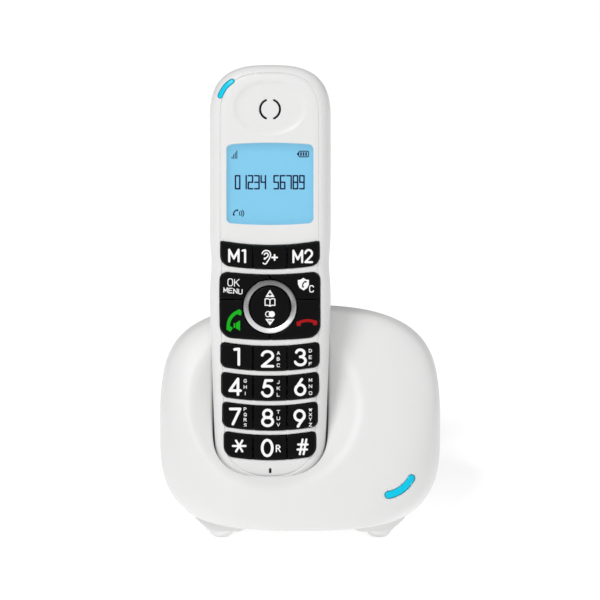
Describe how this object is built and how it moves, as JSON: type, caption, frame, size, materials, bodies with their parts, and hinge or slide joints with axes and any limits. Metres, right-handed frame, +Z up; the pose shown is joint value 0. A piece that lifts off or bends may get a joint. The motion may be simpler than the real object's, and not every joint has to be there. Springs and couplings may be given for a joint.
{
  "type": "cordless phone with base",
  "caption": "Big-button cordless telephone handset leaning back in a squat rounded charging base, which it lifts out of.",
  "frame": {"origin": "on the table, under the middle of the whole object's box", "axes": "+Z up, -Y out of the front of the base, +X to the right seen from the front"},
  "size_m": [0.1168, 0.0879, 0.1838],
  "materials": {
    "white_casing": "fine satin",
    "black_key": "satin, white legends",
    "silver_ring": "satin silver plating",
    "cyan_lens": "translucent indicator lens",
    "clear_window": "clear display window",
    "blue_lcd": "backlit liquid-crystal panel",
    "steel": "plain steel",
    "gold_contact": "gold-plated contact",
    "green_board": "solder-masked circuit board",
    "dark_inner": "black moulding",
    "grey_rubber": "soft grey rubber",
    "cell_sleeve": "shrink-sleeved cell"
  },
  "bodies": {
    "base": {"base_top_cover": "white_casing", "base_bottom_cover": "white_casing", "base_weight": "steel", "base_circuit_board": "green_board", "base_indicator": "cyan_lens", "line_socket": "dark_inner", "power_jack": "dark_inner", "base_screw_front": "steel", "base_screw_rear": "steel", "foot_pad_front_left": "grey_rubber", "foot_pad_front_right": "grey_rubber", "foot_pad_rear_left": "grey_rubber", "foot_pad_rear_right": "grey_rubber"},
    "handset": {"handset_front_cover": "white_casing", "handset_rear_cover": "white_casing", "handset_indicator": "cyan_lens", "display_window": "clear_window", "lcd_panel": "blue_lcd", "lcd_holder": "dark_inner", "nav_ring": "silver_ring", "keypad_membrane": "grey_rubber", "handset_circuit_board": "green_board", "ear_felt": "dark_inner", "earpiece_receiver": "steel", "loudspeaker": "dark_inner", "microphone": "dark_inner", "battery_cell_left": "cell_sleeve", "battery_cell_right": "cell_sleeve", "battery_spring_contact": "steel", "battery_plate_contact": "steel", "handset_charge_pad_left": "gold_contact", "handset_charge_pad_right": "gold_contact", "handset_screw_left": "steel", "handset_screw_right": "steel"},
    "memory_key_1": {"memory_key_1": "black_key"},
    "boost_key": {"boost_key": "black_key"},
    "memory_key_2": {"memory_key_2": "black_key"},
    "menu_key": {"menu_key": "black_key"},
    "block_key": {"block_key": "black_key"},
    "talk_key": {"talk_key": "black_key"},
    "end_key": {"end_key": "black_key"},
    "key_1": {"key_1": "black_key"},
    "key_2": {"key_2": "black_key"},
    "key_3": {"key_3": "black_key"},
    "key_4": {"key_4": "black_key"},
    "key_5": {"key_5": "black_key"},
    "key_6": {"key_6": "black_key"},
    "key_7": {"key_7": "black_key"},
    "key_8": {"key_8": "black_key"},
    "key_9": {"key_9": "black_key"},
    "key_star": {"key_star": "black_key"},
    "key_0": {"key_0": "black_key"},
    "key_hash": {"key_hash": "black_key"},
    "nav_key": {"nav_key": "black_key"},
    "battery_door": {"battery_door": "white_casing"},
    "page_button": {"page_button": "white_casing"},
    "charge_contact_left": {"charge_contact_left": "gold_contact"},
    "charge_contact_right": {"charge_contact_right": "gold_contact"}
  },
  "joints": [
    {"name": "handset_lift", "type": "slide", "parent": "base", "child": "handset", "axis": [0, 0.309, 0.9511], "range_m": [0, 0.09]},
    {"name": "memory_key_1_press", "type": "slide", "parent": "handset", "child": "memory_key_1", "axis": [0, 0.9511, -0.309], "range_m": [0, 0.001], "stiffness_N_per_m": 800, "springref_m": -0.0005},
    {"name": "boost_key_press", "type": "slide", "parent": "handset", "child": "boost_key", "axis": [0, 0.9511, -0.309], "range_m": [0, 0.001], "stiffness_N_per_m": 800, "springref_m": -0.0005},
    {"name": "memory_key_2_press", "type": "slide", "parent": "handset", "child": "memory_key_2", "axis": [0, 0.9511, -0.309], "range_m": [0, 0.001], "stiffness_N_per_m": 800, "springref_m": -0.0005},
    {"name": "menu_key_press", "type": "slide", "parent": "handset", "child": "menu_key", "axis": [0, 0.9511, -0.309], "range_m": [0, 0.001], "stiffness_N_per_m": 800, "springref_m": -0.0005},
    {"name": "block_key_press", "type": "slide", "parent": "handset", "child": "block_key", "axis": [0, 0.9511, -0.309], "range_m": [0, 0.001], "stiffness_N_per_m": 800, "springref_m": -0.0005},
    {"name": "talk_key_press", "type": "slide", "parent": "handset", "child": "talk_key", "axis": [0, 0.9511, -0.309], "range_m": [0, 0.001], "stiffness_N_per_m": 800, "springref_m": -0.0005},
    {"name": "end_key_press", "type": "slide", "parent": "handset", "child": "end_key", "axis": [0, 0.9511, -0.309], "range_m": [0, 0.001], "stiffness_N_per_m": 800, "springref_m": -0.0005},
    {"name": "key_1_press", "type": "slide", "parent": "handset", "child": "key_1", "axis": [0, 0.9511, -0.309], "range_m": [0, 0.001], "stiffness_N_per_m": 800, "springref_m": -0.0005},
    {"name": "key_2_press", "type": "slide", "parent": "handset", "child": "key_2", "axis": [0, 0.9511, -0.309], "range_m": [0, 0.001], "stiffness_N_per_m": 800, "springref_m": -0.0005},
    {"name": "key_3_press", "type": "slide", "parent": "handset", "child": "key_3", "axis": [0, 0.9511, -0.309], "range_m": [0, 0.001], "stiffness_N_per_m": 800, "springref_m": -0.0005},
    {"name": "key_4_press", "type": "slide", "parent": "handset", "child": "key_4", "axis": [0, 0.9511, -0.309], "range_m": [0, 0.001], "stiffness_N_per_m": 800, "springref_m": -0.0005},
    {"name": "key_5_press", "type": "slide", "parent": "handset", "child": "key_5", "axis": [0, 0.9511, -0.309], "range_m": [0, 0.001], "stiffness_N_per_m": 800, "springref_m": -0.0005},
    {"name": "key_6_press", "type": "slide", "parent": "handset", "child": "key_6", "axis": [0, 0.9511, -0.309], "range_m": [0, 0.001], "stiffness_N_per_m": 800, "springref_m": -0.0005},
    {"name": "key_7_press", "type": "slide", "parent": "handset", "child": "key_7", "axis": [0, 0.9511, -0.309], "range_m": [0, 0.001], "stiffness_N_per_m": 800, "springref_m": -0.0005},
    {"name": "key_8_press", "type": "slide", "parent": "handset", "child": "key_8", "axis": [0, 0.9511, -0.309], "range_m": [0, 0.001], "stiffness_N_per_m": 800, "springref_m": -0.0005},
    {"name": "key_9_press", "type": "slide", "parent": "handset", "child": "key_9", "axis": [0, 0.9511, -0.309], "range_m": [0, 0.001], "stiffness_N_per_m": 800, "springref_m": -0.0005},
    {"name": "key_star_press", "type": "slide", "parent": "handset", "child": "key_star", "axis": [0, 0.9511, -0.309], "range_m": [0, 0.001], "stiffness_N_per_m": 800, "springref_m": -0.0005},
    {"name": "key_0_press", "type": "slide", "parent": "handset", "child": "key_0", "axis": [0, 0.9511, -0.309], "range_m": [0, 0.001], "stiffness_N_per_m": 800, "springref_m": -0.0005},
    {"name": "key_hash_press", "type": "slide", "parent": "handset", "child": "key_hash", "axis": [0, 0.9511, -0.309], "range_m": [0, 0.001], "stiffness_N_per_m": 800, "springref_m": -0.0005},
    {"name": "nav_key_rock", "type": "hinge", "parent": "handset", "child": "nav_key", "pos_m": [-0.0122, -0.00559, 0.09045], "axis": [1, 0, 0], "range_deg": [-4, 4], "stiffness_Nm_per_rad": 0.05},
    {"name": "battery_door_open", "type": "hinge", "parent": "handset", "child": "battery_door", "pos_m": [-0.0122, 0.01707, 0.0874], "axis": [-1, 0, 0], "range_deg": [0, 75]},
    {"name": "page_button_press", "type": "slide", "parent": "base", "child": "page_button", "axis": [0, -0.9613, -0.2756], "range_m": [0, 0.0015], "stiffness_N_per_m": 600, "springref_m": -0.0005},
    {"name": "charge_contact_left_press", "type": "slide", "parent": "base", "child": "charge_contact_left", "axis": [0, -0.309, -0.9511], "range_m": [0, 0.001], "stiffness_N_per_m": 300, "springref_m": -0.0005},
    {"name": "charge_contact_right_press", "type": "slide", "parent": "base", "child": "charge_contact_right", "axis": [0, -0.309, -0.9511], "range_m": [0, 0.001], "stiffness_N_per_m": 300, "springref_m": -0.0005}
  ]
}
